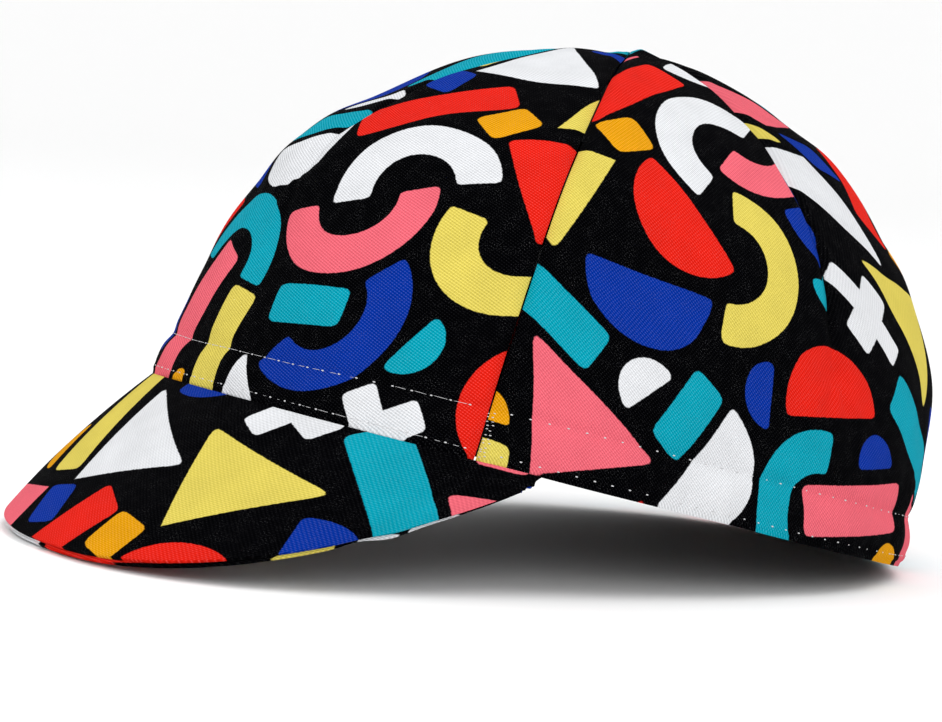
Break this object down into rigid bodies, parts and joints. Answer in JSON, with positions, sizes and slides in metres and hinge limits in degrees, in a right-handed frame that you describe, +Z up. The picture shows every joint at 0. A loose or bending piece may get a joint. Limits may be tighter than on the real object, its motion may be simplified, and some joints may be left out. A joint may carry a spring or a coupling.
{
  "type": "cycling cap",
  "caption": "Soft cotton cycling cap with a rounded crown sewn from two panels, a short turned-down peak and a band inside the lower edge.",
  "frame": {"origin": "middle of the cap's footprint box, on the surface that it rests on", "axes": "+Z up from the surface, -Y out over the peak, +X towards the wearer's left"},
  "size_m": [0.166, 0.2424, 0.1275],
  "materials": {
    "printed_cotton": "matte printed twill",
    "plain_cotton": "matte black twill"
  },
  "bodies": {
    "root": {"front_panel": "printed_cotton", "rear_panel": "printed_cotton", "sweatband": "plain_cotton", "peak_top": "printed_cotton", "peak_under": "printed_cotton"}
  },
  "joints": []
}
